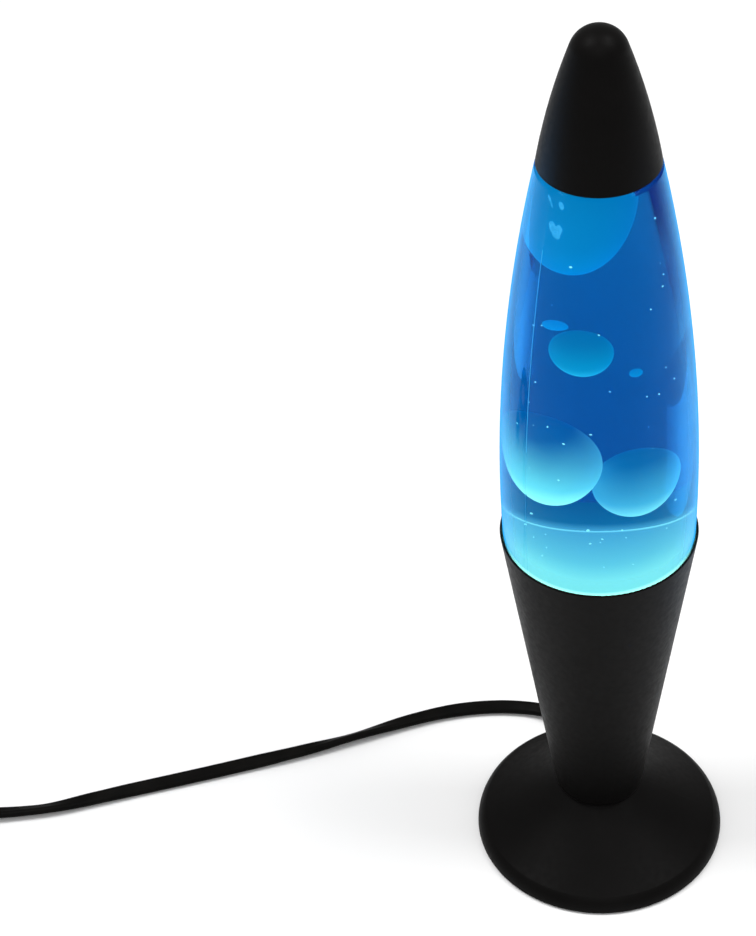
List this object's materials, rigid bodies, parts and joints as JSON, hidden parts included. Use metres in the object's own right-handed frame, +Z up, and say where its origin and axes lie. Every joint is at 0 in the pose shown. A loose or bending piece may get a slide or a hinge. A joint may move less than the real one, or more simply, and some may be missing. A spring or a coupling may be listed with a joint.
{
  "type": "lava lamp",
  "caption": "Rocket-shaped lava lamp: black cone base on a flared foot, lift-out tapered glass bottle of blue liquid and wax, black ogive cap, mains lead with in-line switch.",
  "frame": {"origin": "centre of the footprint on the surface that the lamp stands on", "axes": "+Z up along the lamp's own axis; +Y to the rear, where the mains lead leaves the foot; +X to the right seen from the front"},
  "size_m": [0.508, 0.1426, 0.41],
  "materials": {
    "black_shell": "satin black, fine moulded grain",
    "black_moulding": "matt black moulding",
    "rocker": "gloss black",
    "black_lead": "black flexible PVC",
    "pad_rubber": "soft matt",
    "steel": "zinc plated",
    "crown_tin": "lacquered tinplate",
    "liner": "soft sealing disc",
    "brass": "bright",
    "holder_core": "glazed insulator",
    "bulb_glass": "reflector bulb glass",
    "bulb_base": "rolled",
    "bulb_black_glass": "black glass",
    "filament": "tungsten",
    "bottle_glass": "clear moulded glass with a faint seam",
    "blue_liquid": "clear blue liquid, stands at a plastic's density",
    "wax": "translucent wax, lit from below",
    "pin_metal": "nickel plated",
    "live_insulation": "brown insulation",
    "neutral_insulation": "blue insulation"
  },
  "bodies": {
    "base": {"base_cone": "black_shell", "foot_shell": "black_shell", "bottom_plate": "black_moulding", "plate_screws": "steel", "rubber_pads": "pad_rubber", "tie_washers": "steel", "tie_nuts": "steel", "tie_tube": "steel", "holder_cap": "black_moulding", "holder_body": "black_moulding", "holder_core": "holder_core", "holder_screw_shell": "brass", "holder_contact": "brass", "lead_live": "live_insulation", "lead_neutral": "neutral_insulation", "strain_relief": "black_lead", "cord": "black_lead", "cord_to_coil": "black_lead", "cord_to_plug": "black_lead", "cord_coil": "black_lead", "switch_lower_half": "black_moulding", "switch_upper_half": "black_moulding", "switch_screws": "steel", "switch_contacts": "brass", "plug_body": "black_moulding", "plug_pins": "pin_metal"},
    "bulb": {"bulb_glass": "bulb_glass", "bulb_screw_base": "bulb_base", "bulb_insulator": "bulb_black_glass", "bulb_contact": "bulb_base", "bulb_stem": "bulb_glass", "bulb_filament": "filament"},
    "bottle": {"glass_bottle": "bottle_glass", "liquid": "blue_liquid", "crown_cap": "crown_tin", "crown_liner": "liner", "wire_coil": "steel", "wax_top": "wax", "wax_pool": "wax", "wax_bead_left": "wax", "wax_bead_right": "wax"},
    "cap": {"top_cap": "black_shell"},
    "wax_middle": {"wax_middle": "wax"},
    "wax_lower_left": {"wax_lower_left": "wax"},
    "wax_lower_right": {"wax_lower_right": "wax"},
    "rocker": {"switch_rocker": "rocker"}
  },
  "joints": [
    {"name": "bottle_lift", "type": "slide", "parent": "base", "child": "bottle", "axis": [0, 0, 1], "range_m": [0, 0.12]},
    {"name": "cap_lift", "type": "slide", "parent": "bottle", "child": "cap", "axis": [0, 0, 1], "range_m": [0, 0.08]},
    {"name": "bulb_turn", "type": "hinge", "parent": "base", "child": "bulb", "pos_m": [0, 0, 0.07], "axis": [0, 0, 1], "range_deg": [0, 1080]},
    {"name": "wax_middle_rise", "type": "slide", "parent": "bottle", "child": "wax_middle", "axis": [0, 0, 1], "range_m": [-0.006, 0.02], "deforming": ["liquid"]},
    {"name": "wax_left_rise", "type": "slide", "parent": "bottle", "child": "wax_lower_left", "axis": [0, 0, 1], "range_m": [0, 0.012], "deforming": ["liquid"]},
    {"name": "wax_right_rise", "type": "slide", "parent": "bottle", "child": "wax_lower_right", "axis": [0, 0, 1], "range_m": [-0.013, 0], "deforming": ["liquid"]},
    {"name": "switch_rock", "type": "hinge", "parent": "base", "child": "rocker", "pos_m": [-0.313, -0.005, 0.0116], "axis": [0, -1, 0], "range_deg": [0, 14]}
  ]
}
